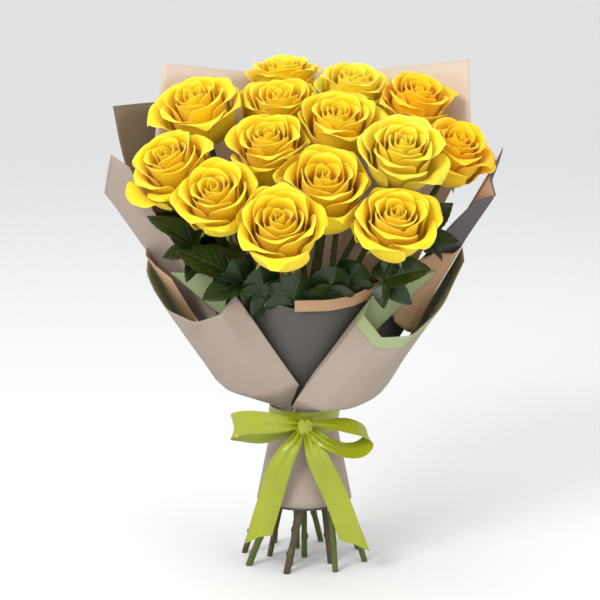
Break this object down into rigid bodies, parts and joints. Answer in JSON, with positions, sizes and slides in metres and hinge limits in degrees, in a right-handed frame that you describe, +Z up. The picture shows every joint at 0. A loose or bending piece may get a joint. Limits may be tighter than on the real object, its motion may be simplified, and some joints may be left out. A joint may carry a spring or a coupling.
{
  "type": "bouquet of roses",
  "caption": "Upright hand-tied bouquet of yellow roses with leaves, wrapped in two-tone florist paper and tied with a green satin ribbon bow.",
  "frame": {"origin": "middle of the footprint, on the plane of the cut stem ends", "axes": "+Z up along the bundle, -Y towards the front of the bouquet, +X to its right as seen from the front"},
  "size_m": [0.4166, 0.3238, 0.5271],
  "materials": {
    "petal": "soft matt yellow petals, paler at the edges and deep orange in the folds",
    "stem": "green to red-brown, slightly waxy",
    "leaf": "dark green, satin upper side",
    "beige_paper": "smooth matt beige florist paper",
    "dark_paper": "smooth matt taupe-grey florist paper",
    "kraft_paper": "matt warm brown paper",
    "satin_ribbon": "chartreuse satin with a soft sheen"
  },
  "bodies": {
    "root": {"rose_head_01": "petal", "rose_head_02": "petal", "rose_head_03": "petal", "rose_head_04": "petal", "rose_head_05": "petal", "rose_head_06": "petal", "rose_head_07": "petal", "rose_head_08": "petal", "rose_head_09": "petal", "rose_head_10": "petal", "rose_head_11": "petal", "rose_head_12": "petal", "rose_head_13": "petal", "rose_head_14": "petal", "rose_stem_01": "stem", "rose_stem_02": "stem", "rose_stem_03": "stem", "rose_stem_04": "stem", "rose_stem_05": "stem", "rose_stem_06": "stem", "rose_stem_07": "stem", "rose_stem_08": "stem", "rose_stem_09": "stem", "rose_stem_10": "stem", "rose_stem_11": "stem", "rose_stem_12": "stem", "rose_stem_13": "stem", "rose_stem_14": "stem", "leaf_01": "leaf", "leaf_02": "leaf", "leaf_03": "leaf", "leaf_04": "leaf", "leaf_05": "leaf", "leaf_06": "leaf", "leaf_07": "leaf", "leaf_08": "leaf", "leaf_09": "leaf", "leaf_10": "leaf", "wrap_back_sheet": "beige_paper", "wrap_left_wing": "beige_paper", "wrap_left_roll": "beige_paper", "wrap_right_roll": "beige_paper", "wrap_tail": "beige_paper", "wrap_back_dark_sheet": "dark_paper", "wrap_right_wing": "dark_paper", "wrap_front_panel": "dark_paper", "wrap_tail_lining": "dark_paper", "wrap_folded_edge": "kraft_paper", "wrap_left_kraft_strip": "kraft_paper", "ribbon_band": "satin_ribbon", "ribbon_knot": "satin_ribbon", "ribbon_loop_left": "satin_ribbon", "ribbon_loop_right": "satin_ribbon", "ribbon_tail_left": "satin_ribbon", "ribbon_tail_right": "satin_ribbon"}
  },
  "joints": []
}
